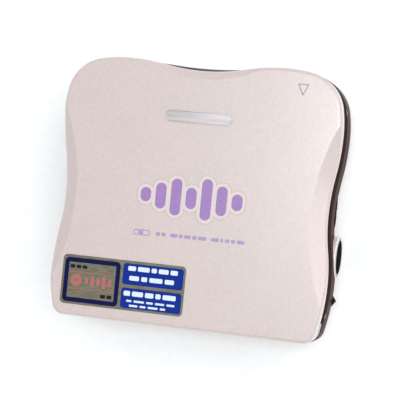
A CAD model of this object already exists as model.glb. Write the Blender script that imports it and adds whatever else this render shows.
import bpy
import bmesh
import math
from mathutils import Matrix, Vector


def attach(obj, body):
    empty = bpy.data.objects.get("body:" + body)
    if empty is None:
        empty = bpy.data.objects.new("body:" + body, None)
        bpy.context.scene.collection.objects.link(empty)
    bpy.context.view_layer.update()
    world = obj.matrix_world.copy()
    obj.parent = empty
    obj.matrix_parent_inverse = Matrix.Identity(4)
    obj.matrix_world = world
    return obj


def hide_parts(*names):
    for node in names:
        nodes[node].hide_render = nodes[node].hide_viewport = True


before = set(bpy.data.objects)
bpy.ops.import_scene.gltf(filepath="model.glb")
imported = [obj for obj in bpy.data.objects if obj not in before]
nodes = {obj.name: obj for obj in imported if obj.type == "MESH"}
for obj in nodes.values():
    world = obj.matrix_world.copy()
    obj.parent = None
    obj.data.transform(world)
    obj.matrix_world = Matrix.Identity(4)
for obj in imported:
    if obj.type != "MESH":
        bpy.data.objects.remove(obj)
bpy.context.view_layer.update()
MM = 0.001


# ---------------------------------------------------------------- camera
# A long lens looks down on the lid from 38 cm, a little from the side with the round
# control, and is held slightly turned, so the opening edge climbs to the left.
YAW = math.radians(15.059)
ROLL = math.radians(5.635)
LENS_PLACE = Vector((99.69, -3.42, 396.53)) * MM
FOCAL_PIXELS = 1318.5
PICTURE_PIXELS = 400
SHIFT_PIXELS = (9.82, 7.08)
SENSOR_WIDTH = 36
NEAREST = 0.01
right = Vector((math.cos(YAW), 0, -math.sin(YAW)))
up = Vector((0, 1, 0))
camera_x = right * math.cos(ROLL) + up * math.sin(ROLL)
camera_y = up * math.cos(ROLL) - right * math.sin(ROLL)
camera_z = camera_x.cross(camera_y)
camera_data = bpy.data.cameras.new("camera")
camera_data.sensor_width = SENSOR_WIDTH
camera_data.lens = FOCAL_PIXELS / PICTURE_PIXELS * camera_data.sensor_width
camera_data.shift_x = SHIFT_PIXELS[0] / PICTURE_PIXELS
camera_data.shift_y = SHIFT_PIXELS[1] / PICTURE_PIXELS
camera_data.clip_start = NEAREST
camera = bpy.data.objects.new("camera", camera_data)
camera_turn = Matrix((camera_x, camera_y, camera_z)).transposed().to_4x4()
camera.matrix_world = Matrix.Translation(LENS_PLACE) @ camera_turn
bpy.context.scene.collection.objects.link(camera)
bpy.context.scene.camera = camera


# ---------------------------------------------------------------- back shell and battery door
# The shell and its door are thin magnesium castings under pearl lacquer: a pinkish white
# coat with fine mica in it and a clear coat on top, so it is pale with a silky highlight.
def colour(code):
    """An sRGB hex colour as the linear values that a shader takes."""
    parts = [int(code[i:i + 2], 16) / 255 for i in (1, 3, 5)]
    return [c / 12.92 if c <= 0.04045 else ((c + 0.055) / 1.055) ** 2.4 for c in parts] + [1.0]


def set_inputs(material, node, inputs):
    """Sets a node's inputs, as values or as the sockets that feed them."""
    for name, value in inputs.items():
        if isinstance(value, bpy.types.NodeSocket):
            material.node_tree.links.new(value, node.inputs[name])
        else:
            node.inputs[name].default_value = value


def add_node(material, kind, inputs=None, stops=(), **settings):
    """Adds a node with its settings, its inputs and a ramp's colour stops."""
    node = material.node_tree.nodes.new(kind)
    for name, value in settings.items():
        setattr(node, name, value)
    set_inputs(material, node, inputs or {})
    for index, (position, code) in enumerate(stops):
        elements = node.color_ramp.elements
        stop = elements[index] if index < 2 else elements.new(position)
        stop.position = position
        stop.color = colour(code)
    return node


def new_finish(name):
    """A material with its shader, and the place that its patterns read, in metres."""
    material = bpy.data.materials.new(name)
    material.use_nodes = True
    material.node_tree.nodes.clear()
    shader = add_node(material, "ShaderNodeBsdfPrincipled")
    add_node(material, "ShaderNodeOutputMaterial", {"Surface": shader.outputs["BSDF"]})
    place = add_node(material, "ShaderNodeTexCoord").outputs["Object"]
    return material, shader, place


def pearl_lacquer(name, pale, deep):
    """Mica flakes are under 0.05 mm, so they are drawn at 0.4 mm, where they just show, over
    soft clouds where the coat is thicker. The clear coat has a little orange peel."""
    material, shader, place = new_finish(name)
    flakes = add_node(material, "ShaderNodeTexVoronoi", {"Vector": place, "Scale": 1 / (0.4 * MM)})
    clouds = add_node(material, "ShaderNodeTexNoise", {
        "Vector": place, "Scale": 1 / (14 * MM), "Detail": 2.0})
    both = add_node(material, "ShaderNodeMath", {
        0: clouds.outputs["Fac"], 1: 0.5, 2: flakes.outputs["Color"]}, operation="MULTIPLY_ADD")
    tint = add_node(material, "ShaderNodeValToRGB", {"Fac": both.outputs["Value"]},
                    [(0.2, deep), (1.0, pale)])
    orange_peel = add_node(material, "ShaderNodeTexNoise", {
        "Vector": place, "Scale": 1 / (1.1 * MM)})
    bump = add_node(material, "ShaderNodeBump", {
        "Height": orange_peel.outputs["Fac"], "Strength": 0.06, "Distance": 0.02 * MM})
    set_inputs(material, shader, {
        "Base Color": tint.outputs["Color"], "Normal": bump.outputs["Normal"], "Metallic": 0.15,
        "Roughness": 0.29, "Coat Weight": 0.8, "Coat Roughness": 0.12})
    return material


def finish_nodes(material, *names):
    """Gives CAD pieces their finish."""
    for name in names:
        nodes[name].data.materials.clear()
        nodes[name].data.materials.append(material)


shell_pearl = pearl_lacquer("pearl lacquer on cast magnesium", "#cdbdbb", "#c1b1ae")
finish_nodes(shell_pearl, "back_shell", "battery_door")


# ---------------------------------------------------------------- battery cell and contacts
# An alkaline AA cell: a steel can in a printed shrink sleeve, dark green with a copper end.
# The contacts are sprung steel strip, nickel plated, with fine rolling lines.
CELL_SLEEVE_X = (-33.2 * MM, 14.9 * MM)
cell_sleeve, shader, place = new_finish("printed shrink sleeve")
along = add_node(cell_sleeve, "ShaderNodeSeparateXYZ", {"Vector": place}).outputs["X"]
sleeve_end = add_node(cell_sleeve, "ShaderNodeMapRange", {
    "Value": along, "From Min": CELL_SLEEVE_X[0], "From Max": CELL_SLEEVE_X[1]})
print_colours = add_node(cell_sleeve, "ShaderNodeValToRGB", {"Fac": sleeve_end.outputs["Result"]},
                         [(0.0, "#2f4a3c"), (0.72, "#b98a5a"), (0.985, "#b9b9ba")])
print_colours.color_ramp.interpolation = "CONSTANT"
scuffs = add_node(cell_sleeve, "ShaderNodeTexNoise", {
    "Vector": place, "Scale": 1 / (2.5 * MM), "Detail": 4.0})
scuff_gloss = add_node(cell_sleeve, "ShaderNodeMapRange", {
    "Value": scuffs.outputs["Fac"], "To Min": 0.22, "To Max": 0.42})
set_inputs(cell_sleeve, shader, {
    "Base Color": print_colours.outputs["Color"], "Roughness": scuff_gloss.outputs["Result"],
    "Coat Weight": 0.6, "Coat Roughness": 0.1})
finish_nodes(cell_sleeve, "aa_cell")


def rolled_metal(name, pale, deep, roughness, line_spacing, line_axis):
    """Rolled or brushed metal: long fine lines along one axis, in colour, gloss and bump.
    The real lines are some 0.05 mm apart, so they are drawn two to eight times as coarse.
    The axis is 0, 1 or 2 for X, Y or Z."""
    material, shader, place = new_finish(name)
    stretch = Vector((1, 1, 1))
    stretch[line_axis] = 0.02
    lines_place = add_node(material, "ShaderNodeMapping", {"Vector": place, "Scale": stretch})
    lines = add_node(material, "ShaderNodeTexNoise", {
        "Vector": lines_place.outputs["Vector"], "Scale": 1 / (line_spacing * MM), "Detail": 2.0})
    tint = add_node(material, "ShaderNodeValToRGB", {"Fac": lines.outputs["Fac"]},
                    [(0.3, deep), (0.7, pale)])
    gloss = add_node(material, "ShaderNodeMapRange", {
        "Value": lines.outputs["Fac"], "To Min": roughness - 0.08, "To Max": roughness + 0.1})
    bump = add_node(material, "ShaderNodeBump", {
        "Height": lines.outputs["Fac"], "Strength": 0.15, "Distance": 0.01 * MM})
    set_inputs(material, shader, {
        "Base Color": tint.outputs["Color"], "Roughness": gloss.outputs["Result"],
        "Normal": bump.outputs["Normal"], "Metallic": 1.0})
    return material


nickel_strip = rolled_metal("nickel plated spring strip", "#d6d2c6", "#b8b4a8",
                            roughness=0.28, line_spacing=0.3, line_axis=2)
finish_nodes(nickel_strip, "battery_contact", "battery_leaf")


# ---------------------------------------------------------------- main board
# A glass-fibre board under green solder mask, screwed to short posts in the back shell. Its
# copper tracks show as paler raised lines about 0.3 mm wide, on a 1.2 mm grid.
board_mask, shader, place = new_finish("green solder mask on glass fibre")
tracks = add_node(board_mask, "ShaderNodeTexBrick", {
    "Vector": place, "Color1": colour("#1d4a2e"), "Color2": colour("#235636"),
    "Mortar": colour("#3f7a4c"), "Scale": 1.0, "Mortar Size": 0.15 * MM, "Brick Width": 6 * MM,
    "Row Height": 1.2 * MM}, offset=0.37)
bump = add_node(board_mask, "ShaderNodeBump", {
    "Height": tracks.outputs["Fac"], "Strength": 0.3, "Distance": 0.03 * MM})
set_inputs(board_mask, shader, {
    "Base Color": tracks.outputs["Color"], "Normal": bump.outputs["Normal"],
    "Roughness": 0.35, "Coat Weight": 0.3, "Coat Roughness": 0.2})
finish_nodes(board_mask, "main_board")


# ---------------------------------------------------------------- packages, switches and jack body
# Moulded black plastics: filled epoxy on the chips, glass-filled nylon on the switches and the
# jack. Both are matt, with a grain of 0.1 to 0.2 mm.
def grained(name, pale, deep, roughness, grain, metallic=0.0):
    """A moulded or cast surface with the grain of its mould, slightly uneven in colour."""
    material, shader, place = new_finish(name)
    texture = add_node(material, "ShaderNodeTexNoise", {
        "Vector": place, "Scale": 1 / (grain * MM), "Detail": 3.0})
    tint = add_node(material, "ShaderNodeValToRGB", {"Fac": texture.outputs["Fac"]},
                    [(0.3, deep), (0.7, pale)])
    bump = add_node(material, "ShaderNodeBump", {
        "Height": texture.outputs["Fac"], "Strength": 0.25, "Distance": 0.03 * MM})
    set_inputs(material, shader, {
        "Base Color": tint.outputs["Color"], "Normal": bump.outputs["Normal"],
        "Roughness": roughness, "Metallic": metallic})
    return material


epoxy = grained("filled black epoxy", "#26262a", "#17171a", roughness=0.62, grain=0.12)
finish_nodes(epoxy, "board_chips")
nylon = grained("glass-filled black nylon", "#1f1f21", "#121214", roughness=0.5, grain=0.2)
finish_nodes(nylon, "headphone_jack", "jog_switch", "hold_switch", "volume_switches",
             "rod_supports", "lens_holder")


# ---------------------------------------------------------------- chassis
# Pressed steel sheet, zinc plated and brushed along the player's width, on four soft rubber
# rings that keep knocks from the pickup. The rubber is matt and nearly black.
plated_steel = rolled_metal("zinc plated steel sheet", "#b4b3ae", "#94938f",
                            roughness=0.36, line_spacing=0.25, line_axis=0)
finish_nodes(plated_steel, "deck_plate")
damper_rubber = grained("butyl rubber", "#1b1b1c", "#101011", roughness=0.8, grain=0.3)
finish_nodes(damper_rubber, "deck_dampers")


# ---------------------------------------------------------------- spindle
# A flat motor in a drawn steel can, and a black moulded turntable with a ring magnet of
# sintered ferrite, dull and dark grey.
drawn_can = rolled_metal("drawn nickel-plated can", "#b8b7b5", "#9c9b99",
                         roughness=0.3, line_spacing=0.4, line_axis=2)
finish_nodes(drawn_can, "spindle_motor", "sled_motor")
table_black = grained("black acetal", "#202022", "#141416", roughness=0.4, grain=0.3)
finish_nodes(table_black, "turntable")
ferrite = grained("sintered ferrite", "#3b3b3e", "#27272a", roughness=0.66, grain=0.15)
finish_nodes(ferrite, "hub_magnet")


# ---------------------------------------------------------------- sled drive
# Two ground steel rods carry the pickup, and a rolled lead screw moves it. The screw has a
# moulded gear of white acetal, driven by the motor's turned brass pinion.
ground_steel = rolled_metal("ground steel", "#c9c9c9", "#aeaeae",
                            roughness=0.16, line_spacing=0.15, line_axis=0)
finish_nodes(ground_steel, "guide_rods", "lead_screw", "hinge_pins")
gear_acetal = grained("white acetal", "#e2dccb", "#d2cab7", roughness=0.42, grain=0.4)
finish_nodes(gear_acetal, "lead_gear")
turned_brass = rolled_metal("turned brass", "#d2ac62", "#b58f4a",
                            roughness=0.25, line_spacing=0.12, line_axis=1)
finish_nodes(turned_brass, "motor_pinion")


# ---------------------------------------------------------------- pickup
# A die-cast sled with a gold-plated laser can and a moulded glass lens whose coating
# reflects violet.
die_cast = grained("die-cast zinc", "#9d9d9c", "#7e7e7e", roughness=0.45, grain=0.35, metallic=1.0)
finish_nodes(die_cast, "pickup_body")
gold_can = rolled_metal("gold plated can", "#d9b867", "#bd9a4a",
                        roughness=0.22, line_spacing=0.1, line_axis=2)
finish_nodes(gold_can, "laser_diode")
lens_glass, shader, place = new_finish("coated lens glass")
coating = add_node(lens_glass, "ShaderNodeTexNoise", {"Vector": place, "Scale": 1 / (1.5 * MM)})
coat_tint = add_node(lens_glass, "ShaderNodeValToRGB", {"Fac": coating.outputs["Fac"]},
                     [(0.3, "#a893e0"), (0.7, "#c7b6ee")])
set_inputs(lens_glass, shader, {
    "Base Color": coat_tint.outputs["Color"], "Roughness": 0.03, "IOR": 1.52,
    "Transmission Weight": 0.85})
finish_nodes(lens_glass, "objective_lens")


# ---------------------------------------------------------------- screws
# Small cold-headed screws of nickel-plated steel, bright and nearly white. The ones in the
# lid's inner plate are flat and slotted, and all the others are pan-headed, with a cross.
screw_nickel = rolled_metal("nickel plated screw steel", "#e4e3e1", "#c9c8c6",
                            roughness=0.17, line_spacing=0.1, line_axis=2)
finish_nodes(screw_nickel, "side_screws", "back_screws", "board_screws", "deck_screws",
             "lid_screws")


# ---------------------------------------------------------------- band, sliders and rear cap
# The middle frame is moulded in ABS and vacuum-plated a dark plum, like tinted chrome. Seen
# face-on it is a soft brown-purple; at a low angle it shines a dull grey-brown. The bezel and
# the hold slider are plated darker still, and the rear cap is soft grey elastomer.
def dark_plating(name, pale, deep, edge, roughness):
    """Tinted plating; its grain is under 0.1 mm and is drawn at 0.3 mm."""
    material, shader, place = new_finish(name)
    grains = add_node(material, "ShaderNodeTexNoise", {
        "Vector": place, "Scale": 1 / (0.3 * MM), "Detail": 2.0})
    tint = add_node(material, "ShaderNodeValToRGB", {"Fac": grains.outputs["Fac"]},
                    [(0.3, deep), (0.7, pale)])
    set_inputs(material, shader, {
        "Base Color": tint.outputs["Color"], "Metallic": 1.0, "Roughness": roughness,
        "Specular Tint": colour(edge)})
    return material


band_plum = dark_plating("plum plating on ABS", "#695c5d", "#5a4e50",
                         edge="#978f8d", roughness=0.24)
finish_nodes(band_plum, "mid_band", "volume_rocker", "open_knob")
trim_black = dark_plating("black plating on ABS", "#453c3d", "#372f30",
                          edge="#5a5051", roughness=0.22)
finish_nodes(trim_black, "jack_bezel", "hold_slider")
cap_grey = grained("dark grey elastomer", "#3e3e41", "#313134", roughness=0.62, grain=0.3)
finish_nodes(cap_grey, "rear_cap")


# ---------------------------------------------------------------- disc holder and latch
# Folded stainless sheet, brushed from hinge to opening edge, so it glints in long fine
# streaks. The holder turns on the hinge line, and the hooks hang from the lid's inner plate.
holder_steel = rolled_metal("brushed stainless sheet", "#bfbfbe", "#a3a3a2",
                            roughness=0.3, line_spacing=0.3, line_axis=1)
finish_nodes(holder_steel, "disc_holder", "latch_plate", "lid_hooks")


# ---------------------------------------------------------------- round control
# A pearl ring with a polished disc in it. The disc is turned brass under black chrome, very
# slightly domed, with a bright rolled rim. Its lathe rings are drawn at 0.2 mm.
CONTROL_AXIS_Y, CONTROL_AXIS_Z = -14.0 * MM, 7.0 * MM
BRIGHT_RIM_R = (5.0 * MM, 5.18 * MM)
ring_pearl = pearl_lacquer("pearl lacquer on the ring", "#ece0da", "#e0d3cd")
finish_nodes(ring_pearl, "jog_ring")
black_chrome, shader, place = new_finish("black chrome on turned brass")
turned_place = add_node(black_chrome, "ShaderNodeMapping", {
    "Vector": place, "Scale": (0, 1, 1), "Location": (0, -CONTROL_AXIS_Y, -CONTROL_AXIS_Z)})
turning = add_node(black_chrome, "ShaderNodeVectorMath", {
    0: turned_place.outputs["Vector"]}, operation="LENGTH")
rim = add_node(black_chrome, "ShaderNodeMapRange", {
    "Value": turning.outputs["Value"], "From Min": BRIGHT_RIM_R[0], "From Max": BRIGHT_RIM_R[1]})
disc_tint = add_node(black_chrome, "ShaderNodeValToRGB", {"Fac": rim.outputs["Result"]},
                     [(0.0, "#39373a"), (1.0, "#d6d5d5")])
lathe_rings = add_node(black_chrome, "ShaderNodeTexNoise", {
    "W": turning.outputs["Value"], "Scale": 1 / (0.2 * MM), "Detail": 2.0}, noise_dimensions="1D")
bump = add_node(black_chrome, "ShaderNodeBump", {
    "Height": lathe_rings.outputs["Fac"], "Strength": 0.1, "Distance": 0.01 * MM})
set_inputs(black_chrome, shader, {
    "Base Color": disc_tint.outputs["Color"], "Normal": bump.outputs["Normal"], "Metallic": 1.0,
    "Roughness": 0.1, "Specular Tint": disc_tint.outputs["Color"]})
finish_nodes(black_chrome, "jog_cap")


# ---------------------------------------------------------------- lid
# The lid is pressed and lacquered like the back shell. Its hinge barrels, below its rim, are
# lacquered dark to match the band. Its inner plate is brushed stainless.
LID_TOP = 26.0 * MM
LID_RIM_Z = 21.65 * MM
lid_pearl = pearl_lacquer("pearl lacquer on pressed magnesium", "#cebebb", "#c4b4b1")
lid_nodes = lid_pearl.node_tree.nodes
lid_shader = lid_nodes["Principled BSDF"]
height = add_node(lid_pearl, "ShaderNodeSeparateXYZ", {
    "Vector": lid_nodes["Texture Coordinate"].outputs["Object"]}).outputs["Z"]
above_rim = add_node(lid_pearl, "ShaderNodeMath", {0: height, 1: LID_RIM_Z},
                     operation="GREATER_THAN").outputs["Value"]
pearl_tint = lid_shader.inputs["Base Color"].links[0].from_socket
lid_tint = add_node(lid_pearl, "ShaderNodeMixRGB", {
    "Fac": above_rim, "Color1": colour("#4c4042"), "Color2": pearl_tint})
set_inputs(lid_pearl, lid_shader, {"Base Color": lid_tint.outputs["Color"]})
finish_nodes(lid_pearl, "lid")
finish_nodes(holder_steel, "lid_plate")


# ---------------------------------------------------------------- name plate
# A blank pill of satin aluminium, stamped with a raised rim and a shallow dish, and glued on
# the lid near its opening edge. It is a little brighter than the lacquer round it.
MERGE_WITHIN = 0.012 * MM
# Corner radius, as a share of a bar's width, that rounds its whole end.
ROUND_END = 0.499


def deselect():
    """Nothing stays selected, so the next operator acts on the new piece alone."""
    if bpy.context.object and bpy.context.object.mode != "OBJECT":
        bpy.ops.object.mode_set(mode="OBJECT")
    bpy.ops.object.select_all(action="DESELECT")


def add_bar(name, centre, size):
    """A block primitive at its size and place, left in edit mode."""
    deselect()
    bpy.ops.mesh.primitive_cube_add(size=1, location=centre, scale=size)
    piece = bpy.context.object
    piece.name = name
    bpy.ops.object.transform_apply(location=True, rotation=True, scale=True)
    bpy.ops.object.mode_set(mode="EDIT")
    return piece


def pick(piece, kind, test):
    """Selects the edges or faces that pass the test."""
    bpy.ops.mesh.select_mode(type=kind)
    bpy.ops.mesh.select_all(action="DESELECT")
    mesh = bmesh.from_edit_mesh(piece.data)
    for part in {"EDGE": mesh.edges, "FACE": mesh.faces}[kind]:
        if test(part):
            part.select_set(True)
    mesh.select_flush_mode()
    bmesh.update_edit_mesh(piece.data)


def upright(edge):
    """True for an edge along Z."""
    a, b = (vert.co for vert in edge.verts)
    return abs(a.z - b.z) > 0.9 * (a - b).length


def faces_up(face):
    """True for a face that looks along +Z."""
    return face.normal.z > 0.9


def rounded_bar(name, centre, size, radius, segments):
    """A flat bar whose corners, seen from above, are rounded."""
    piece = add_bar(name, centre, size)
    pick(piece, "EDGE", upright)
    bpy.ops.mesh.bevel(offset=radius, segments=segments, affect="EDGES", offset_type="OFFSET")
    bpy.ops.mesh.select_all(action="SELECT")
    bpy.ops.mesh.remove_doubles(threshold=MERGE_WITHIN)
    return piece


def give(piece, material, body):
    """Ends the modelling of a piece: its material and the body it rides on."""
    deselect()
    piece.data.materials.clear()
    piece.data.materials.append(material)
    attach(piece, body)


PLATE_SIZE = Vector((20.4, 3.6, 0.15)) * MM
PLATE_PLACE = Vector((0, 22.7, 26.075)) * MM
PLATE_RIM = 0.25 * MM
PLATE_SLOPE = 0.12 * MM
PLATE_DISH = 0.07 * MM
plate = rounded_bar("name_pill", PLATE_PLACE, PLATE_SIZE, ROUND_END * PLATE_SIZE.y, segments=16)
pick(plate, "FACE", faces_up)
bpy.ops.mesh.inset(thickness=PLATE_RIM)
bpy.ops.mesh.inset(thickness=PLATE_SLOPE)
bpy.ops.transform.translate(value=(0, 0, -PLATE_DISH))
plate_silver = rolled_metal("satin aluminium", "#c8bfbf", "#aea4a4",
                            roughness=0.34, line_spacing=0.3, line_axis=0)
give(plate, plate_silver, "lid")
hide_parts("name_plate")


# ---------------------------------------------------------------- motif
# A generic ornament in the middle of the lid: a row of rounded bars, like a level meter,
# screened in mauve enamel on a thin film of the lid's pearl tone. The film's cut edge shows
# round the bars as a fine taupe line.
def enamel(name, pale, deep):
    """Screen-printed enamel, satin, faintly uneven where the ink is thinner."""
    material, shader, place = new_finish(name)
    ink = add_node(material, "ShaderNodeTexNoise", {
        "Vector": place, "Scale": 1 / (0.6 * MM), "Detail": 3.0})
    tint = add_node(material, "ShaderNodeValToRGB", {"Fac": ink.outputs["Fac"]},
                    [(0.3, deep), (0.7, pale)])
    set_inputs(material, shader, {"Base Color": tint.outputs["Color"], "Roughness": 0.35})
    return material


def join(name, pieces):
    """Several modelled pieces made one object."""
    deselect()
    for piece in pieces:
        piece.select_set(True)
    bpy.context.view_layer.objects.active = pieces[0]
    bpy.ops.object.join()
    pieces[0].name = name
    return pieces[0]


def fuse(name, pieces):
    """Pieces that overlap made one solid, with one face on top."""
    whole = pieces[0]
    for piece in pieces[1:]:
        deselect()
        whole.select_set(True)
        bpy.context.view_layer.objects.active = whole
        bpy.ops.object.modifier_add(type="BOOLEAN")
        union = whole.modifiers[-1]
        union.operation = "UNION"
        union.object = piece
        bpy.ops.object.modifier_apply(modifier=union.name)
        bpy.data.objects.remove(piece)
    bpy.ops.object.mode_set(mode="EDIT")
    bpy.ops.mesh.select_all(action="SELECT")
    bpy.ops.mesh.remove_doubles(threshold=MERGE_WITHIN)
    bpy.ops.mesh.dissolve_limited(angle_limit=math.radians(1))
    whole.name = name
    return whole


def edge_line(piece, thickness, inner):
    """Leaves a line of this thickness round a piece's top, and gives the rest another finish."""
    deselect()
    piece.select_set(True)
    bpy.context.view_layer.objects.active = piece
    bpy.ops.object.mode_set(mode="EDIT")
    pick(piece, "FACE", faces_up)
    bpy.ops.mesh.inset(thickness=thickness)
    piece.data.materials.append(inner)
    piece.active_material_index = len(piece.data.materials) - 1
    bpy.ops.object.material_slot_assign()


PRINT_T = 0.04 * MM
FILM_LINE = 0.2 * MM
# From here to the end of the section, in millimetres.
FILM_T = 0.02
MOTIF_Y = -0.9
BAR_LENGTHS = (4.2, 7.6, 10.8, 6.2, 12.0, 8.6, 4.8)
BAR_W = 3.2
BAR_PITCH = 4.6
BORDER_W = 1.15
bars = []
borders = []
for index, length in enumerate(BAR_LENGTHS):
    x = (index - len(BAR_LENGTHS) // 2) * BAR_PITCH
    centre = Vector((x * MM, MOTIF_Y * MM, LID_TOP + PRINT_T / 2))
    size = Vector((BAR_W * MM, length * MM, PRINT_T))
    bars.append(rounded_bar("bar", centre, size, ROUND_END * BAR_W * MM, segments=10))
    film_centre = Vector((x * MM, MOTIF_Y * MM, LID_TOP + FILM_T / 2 * MM))
    film_size = Vector((BAR_W + 2 * BORDER_W, length + 2 * BORDER_W, FILM_T)) * MM
    borders.append(rounded_bar("border", film_centre, film_size, ROUND_END * film_size.x,
                               segments=14))
mauve = enamel("mauve screen enamel", "#9d7ab2", "#906da6")
film_pearl = enamel("pale pearl film", "#d6c7c5", "#cebfbd")
film_edge_taupe = enamel("shadowed film edge", "#bdb0a6", "#b1a49a")
border = fuse("motif_border", borders)
give(border, film_edge_taupe, "lid")
edge_line(border, FILM_LINE, film_pearl)
motif = join("level_motif", bars)
give(motif, mauve, "lid")


# ---------------------------------------------------------------- print line
# Under the motif runs a row of small mauve marks, an outlined pill and then dashes, screened
# in the same enamel laid thinner, so it is paler.
def hollow(piece, line, thickness):
    """Leaves only a line of this width round a flat bar's edge, closed on all sides."""
    pick(piece, "FACE", faces_up)
    bpy.ops.mesh.inset(thickness=line)
    bpy.ops.mesh.delete(type="FACE")
    pick(piece, "FACE", lambda face: not faces_up(face))
    bpy.ops.mesh.delete(type="FACE")
    bpy.ops.mesh.select_all(action="SELECT")
    bpy.ops.mesh.extrude_region_move(TRANSFORM_OT_translate={"value": (0, 0, -thickness)})
    bpy.ops.mesh.select_all(action="SELECT")
    bpy.ops.mesh.normals_make_consistent(inside=False)


# From here to the end of the section, in millimetres.
PRINT_Y = -12.2
PILL_X = -13.9
PILL_LENGTH = 5.2
PILL_W = 1.7
PILL_CORNER = 0.8
PILL_LINE = 0.28
DASH_W = 1.05
DASH_CORNER = 0.3
DASHES = ((-15.0, 1.5), (-9.5, 1.2), (-7.8, 1.2), (-5.2, 2.2), (-2.5, 1.1), (-0.9, 1.9),
          (1.5, 1.3), (3.3, 2.4), (7.2, 2.3), (10.0, 0.8), (11.3, 1.3), (13.1, 1.3), (14.9, 2.2))
pill = rounded_bar("print_pill", Vector((PILL_X * MM, PRINT_Y * MM, LID_TOP + PRINT_T / 2)),
                   Vector((PILL_LENGTH * MM, PILL_W * MM, PRINT_T)), PILL_CORNER * MM,
                   segments=8)
hollow(pill, PILL_LINE * MM, PRINT_T)
marks = [pill]
for x, length in DASHES:
    centre = Vector(((x + length / 2) * MM, PRINT_Y * MM, LID_TOP + PRINT_T / 2))
    size = Vector((length * MM, DASH_W * MM, PRINT_T))
    marks.append(rounded_bar("dash", centre, size, DASH_CORNER * MM, segments=4))
print_line = join("print_line", marks)
print_mauve = enamel("thin mauve enamel", "#a891bf", "#9d85b6")
give(print_line, print_mauve, "lid")


# ---------------------------------------------------------------- opening mark
# A small outlined triangle near the right front corner shows where the lid is lifted. It is
# screened in a thin grey enamel with a little mauve in it.
MARK_CENTRE = Vector((29.85, 33.57)) * MM
MARK_R = 2.37 * MM
MARK_NARROWING = 0.85
MARK_CORNER = 0.45 * MM
MARK_LINE = 0.34 * MM
MARK_FOOT = 0.01 * MM
MARK_T = 0.03 * MM
deselect()
bpy.ops.mesh.primitive_circle_add(vertices=3, radius=MARK_R, fill_type="NGON",
                                  location=(*MARK_CENTRE, LID_TOP + MARK_FOOT),
                                  rotation=(0, 0, math.radians(180)))
mark = bpy.context.object
mark.name = "opening_mark"
bpy.ops.object.transform_apply(location=True, rotation=True, scale=True)
bpy.ops.object.mode_set(mode="EDIT")
bpy.ops.mesh.select_all(action="SELECT")
bpy.ops.transform.resize(value=(MARK_NARROWING, 1, 1), center_override=(*MARK_CENTRE, LID_TOP))
bpy.ops.mesh.bevel(offset=MARK_CORNER, segments=5, affect="VERTICES")
bpy.ops.mesh.select_all(action="SELECT")
bpy.ops.mesh.inset(thickness=MARK_LINE)
bpy.ops.mesh.delete(type="FACE")
bpy.ops.mesh.select_all(action="SELECT")
bpy.ops.mesh.extrude_region_move(TRANSFORM_OT_translate={"value": (0, 0, MARK_T)})
bpy.ops.mesh.select_all(action="SELECT")
bpy.ops.mesh.normals_make_consistent(inside=False)
mark_ink = enamel("mauve-grey screen enamel", "#a89aa4", "#9c8e99")
give(mark, mark_ink, "lid")


# ---------------------------------------------------------------- foil label
# A die-cut label of aluminised polyester film in a dull olive silver, brushed across, printed
# with a navy frame, two blue panels and rows of plain bars, and stuck on the lid.
LABEL_TOP = LID_TOP + 0.1 * MM
INK_T = 0.015 * MM
INK_Z = (LABEL_TOP, LABEL_TOP + INK_T)
# From here to the end of the section, in millimetres.
LABEL_X = (-37.3, 0.7)
LABEL_Y = (-35.5, -20.85)
LABEL_CORNER = 1.3
foil, shader, place = new_finish("printed aluminised film")
grain_place = add_node(foil, "ShaderNodeMapping", {"Vector": place, "Scale": (1, 10, 1)})
foil_grain = add_node(foil, "ShaderNodeTexNoise", {
    "Vector": grain_place.outputs["Vector"], "Scale": 1 / (2.5 * MM), "Detail": 3.0})
foil_tint = add_node(foil, "ShaderNodeValToRGB", {"Fac": foil_grain.outputs["Fac"]},
                     [(0.3, "#625d4f"), (0.7, "#837e6c")])
scratches = add_node(foil, "ShaderNodeBump", {
    "Height": foil_grain.outputs["Fac"], "Strength": 0.2, "Distance": 0.02 * MM})
set_inputs(foil, shader, {
    "Base Color": foil_tint.outputs["Color"], "Normal": scratches.outputs["Normal"],
    "Metallic": 0.75, "Roughness": 0.38})


def field(x, y, z):
    """Centre and size of a flat field from its edges: x and y in millimetres, z in metres."""
    centre = Vector(((x[0] + x[1]) / 2 * MM, (y[0] + y[1]) / 2 * MM, (z[0] + z[1]) / 2))
    return centre, Vector(((x[1] - x[0]) * MM, (y[1] - y[0]) * MM, z[1] - z[0]))


label = rounded_bar("foil_sticker", *field(LABEL_X, LABEL_Y, (LID_TOP, LABEL_TOP)),
                    LABEL_CORNER * MM, segments=8)
give(label, foil, "lid")
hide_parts("foil_label")


def printing_ink(name, pale, deep):
    """Flexo ink under a dull varnish; dots of 0.25 mm break its colour up a little."""
    material, shader, place = new_finish(name)
    dots = add_node(material, "ShaderNodeTexVoronoi", {"Vector": place, "Scale": 1 / (0.25 * MM)})
    tint = add_node(material, "ShaderNodeValToRGB", {"Fac": dots.outputs["Distance"]},
                    [(0.1, deep), (0.7, pale)])
    set_inputs(material, shader, {
        "Base Color": tint.outputs["Color"], "Roughness": 0.5, "Specular IOR Level": 0.12})
    return material


PANEL_X = (-18.4, 0.1)
PANELS_Y = ((-27.9, -21.65), (-34.85, -28.85))
PANEL_CORNER = 0.8
blue_panels = join("label_panels", [
    rounded_bar("panel", *field(PANEL_X, panel_y, INK_Z), PANEL_CORNER * MM, segments=6)
    for panel_y in PANELS_Y])
blue_ink = printing_ink("blue printing ink", "#072b8a", "#052378")
give(blue_panels, blue_ink, "lid")

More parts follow.
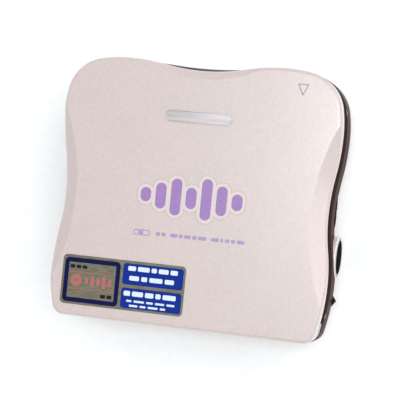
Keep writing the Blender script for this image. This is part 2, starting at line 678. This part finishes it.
FRAME_X = (-36.65, -19.25)
FRAME_Y = (-34.85, -21.65)
FRAME_LINE = 1.35
navy_frame = rounded_bar("label_frame", *field(FRAME_X, FRAME_Y, INK_Z), LABEL_CORNER * MM,
                         segments=6)
hollow(navy_frame, FRAME_LINE * MM, INK_T)
navy_ink = printing_ink("navy printing ink", "#040946", "#020534")
give(navy_frame, navy_ink, "lid")


# Corner radius of a bar, as a share of its height.
ROW_CORNER = 0.25


def bar_rows(rows, z):
    """Rows of bars. Each row has its first bar's low corner, the bars' height, their lengths
    and the gap between two bars, in millimetres."""
    made = []
    for x, y, height, lengths, gap in rows:
        for length in lengths:
            made.append(rounded_bar("mark", *field((x, x + length), (y, y + height), z),
                                    ROW_CORNER * height * MM, segments=4))
            x += length + gap
    return made


WHITE_ROWS = ((-16.9, -23.75, 1.35, (2.4, 3.6, 1.6, 3.0, 2.2), 0.6),
              (-16.3, -26.6, 1.35, (3.0, 1.8, 4.0, 2.8), 0.7),
              (-17.6, -31.2, 1.45, (2.0, 3.4, 2.6, 1.6, 4.0), 0.6),
              (-16.6, -32.95, 0.6, (1.6, 3.2, 2.0, 2.8, 2.4), 0.7),
              (-15.6, -34.3, 0.6, (2.6, 1.8, 3.0, 1.6), 0.7))
white_marks = join("label_white_marks", bar_rows(WHITE_ROWS, (INK_Z[1], INK_Z[1] + INK_T)))
white_ink = printing_ink("white printing ink", "#d9e3ec", "#c8d5e1")
give(white_marks, white_ink, "lid")

BLACK_ROWS = ((-34.9, -24.75, 1.0, (1.5, 1.5, 1.5), 0.4),
              (-24.8, -32.9, 1.1, (1.6, 1.6), 0.4))
black_marks = join("label_black_marks", bar_rows(BLACK_ROWS, INK_Z))
black_ink = printing_ink("black printing ink", "#1c1a20", "#121015")
give(black_marks, black_ink, "lid")

# In the frame, between two thin rules, stand a disc and five bars in a soft pink.
ROW_Y = -28.25
DISC_X = -32.7
DISC_R = 1.75
DISC_RING = 1.25
LEVELS = ((-30.0, 1.6), (-28.2, 3.2), (-26.4, 2.2), (-24.6, 3.6), (-22.8, 2.0))
LEVEL_W = 1.1
LEVEL_CORNER = 0.4
RULE_X = (-35.0, -21.3)
RULES_Y = (-25.95, -30.9)
RULE_W = 0.2
RULE_CORNER = 0.05
deselect()
bpy.ops.mesh.primitive_cylinder_add(vertices=40, radius=DISC_R * MM, depth=INK_T,
                                    location=(DISC_X * MM, ROW_Y * MM, sum(INK_Z) / 2))
disc_mark = bpy.context.object
bpy.ops.object.transform_apply(location=True, rotation=True, scale=True)
bpy.ops.object.mode_set(mode="EDIT")
hollow(disc_mark, DISC_RING * MM, INK_T)
level_marks = [
    rounded_bar("mark", *field((x, x + LEVEL_W), (ROW_Y - h / 2, ROW_Y + h / 2), INK_Z),
                LEVEL_CORNER * MM, segments=4) for x, h in LEVELS]
rules = [
    rounded_bar("rule", *field(RULE_X, (y, y + RULE_W), INK_Z), RULE_CORNER * MM, segments=2)
    for y in RULES_Y]
pink_marks = join("label_pink_marks", [disc_mark, *level_marks, *rules])
pink_ink = printing_ink("pink printing ink", "#b06a68", "#a25e5c")
give(pink_marks, pink_ink, "lid")


# ---------------------------------------------------------------- floor and light
# A plain white floor, a large soft light high on the side of the round control, and a narrow
# one above the lid, whose glare lies along its right and far edges.
FLOOR_SIZE = 4
FLOOR_Z = -0.3 * MM
SKY_STRENGTH = 0.82
deselect()
bpy.ops.mesh.primitive_plane_add(size=FLOOR_SIZE, location=(0, 0, FLOOR_Z))
floor = bpy.context.object
floor.name = "floor"
floor_paint, shader, place = new_finish("matt white board")
fibres = add_node(floor_paint, "ShaderNodeTexNoise", {
    "Vector": place, "Scale": 1 / (3 * MM), "Detail": 3.0})
paper = add_node(floor_paint, "ShaderNodeValToRGB", {"Fac": fibres.outputs["Fac"]},
                 [(0.3, "#fafafa"), (0.7, "#fefefe")])
set_inputs(floor_paint, shader, {"Base Color": paper.outputs["Color"], "Roughness": 0.9})
floor.data.materials.append(floor_paint)


def soft_light(name, spot, towards, size, watts, tint):
    """A rectangular area light that faces a point; size is its width and depth in metres."""
    data = bpy.data.lights.new(name, "AREA")
    data.color = colour(tint)[:3]
    data.shape = "RECTANGLE"
    data.size, data.size_y = size
    data.energy = watts
    lamp = bpy.data.objects.new(name, data)
    aim = (Vector(towards) - Vector(spot)).normalized()
    lamp.matrix_world = Matrix.Translation(spot) @ aim.to_track_quat("-Z", "Y").to_matrix().to_4x4()
    bpy.context.scene.collection.objects.link(lamp)


soft_light("overhead light", spot=(0.065, 0.08, 1.0), towards=(0.065, 0.08, 0),
           size=(0.3, 0.2), watts=2.4, tint="#e2f4f8")
soft_light("side light", spot=(1.0, 0.4, 1.15), towards=(0, 0, 0.02),
           size=(1.5, 1.5), watts=9.5, tint="#fbfeff")
world = bpy.data.worlds.new("studio")
world.use_nodes = True
world.node_tree.nodes["Background"].inputs["Color"].default_value = colour("#ffffff")
world.node_tree.nodes["Background"].inputs["Strength"].default_value = SKY_STRENGTH
bpy.context.scene.world = world
bpy.context.scene.view_settings.view_transform = "Standard"

deselect()
